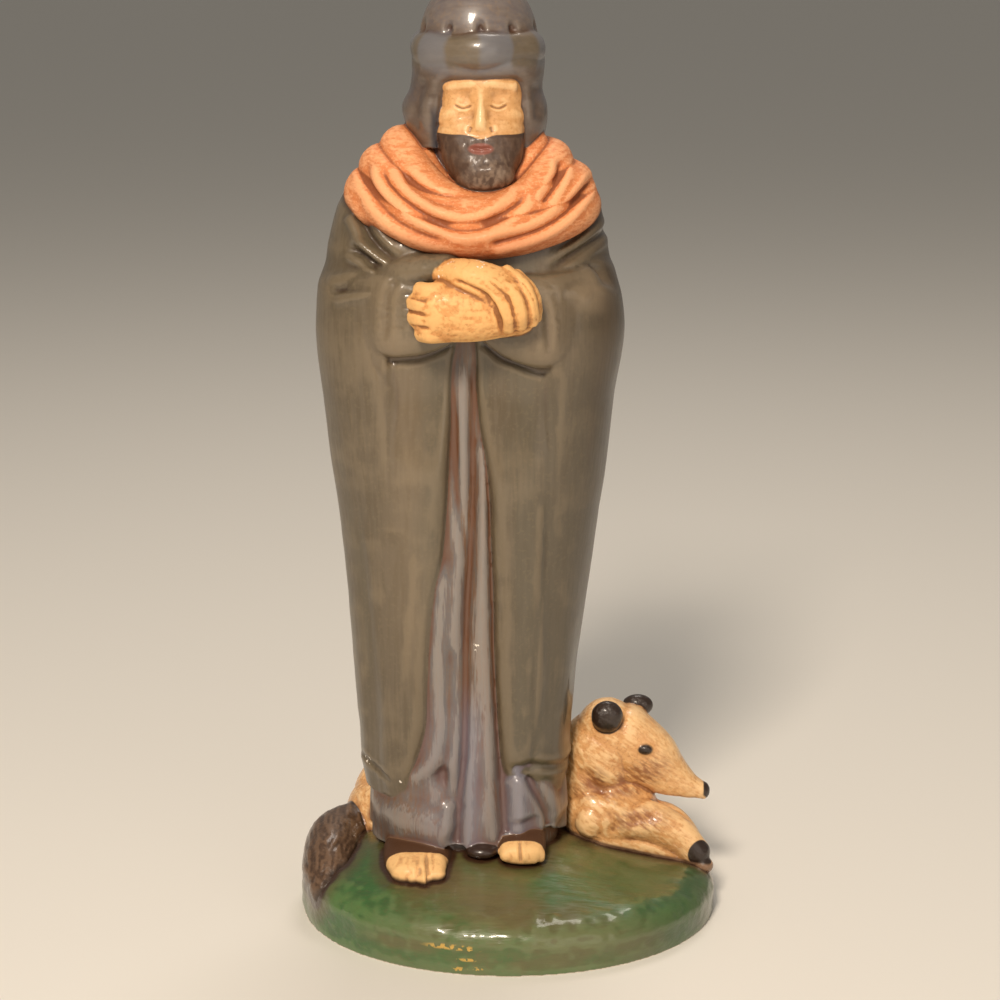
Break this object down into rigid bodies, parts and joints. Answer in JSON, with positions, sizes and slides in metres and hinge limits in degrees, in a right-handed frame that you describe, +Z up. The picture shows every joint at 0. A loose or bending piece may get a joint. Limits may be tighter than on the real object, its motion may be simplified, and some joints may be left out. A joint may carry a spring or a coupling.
{
  "type": "nativity figurine",
  "caption": "Standing shepherd figurine with folded hands, a long cloak and a lying dog on a green mound base, for a nativity display.",
  "frame": {"origin": "centre of the base's underside, on the surface the figurine stands on", "axes": "+Z up, the shepherd faces -Y, +X towards the dog's head"},
  "size_m": [0.126, 0.112, 0.28],
  "materials": {
    "painted_ceramic": "slip-cast earthenware, hand-painted in olive grey, orange, lavender blue, tan and green, brown antiquing wash, gloss varnish"
  },
  "bodies": {
    "root": {"figurine": "painted_ceramic"}
  },
  "joints": []
}
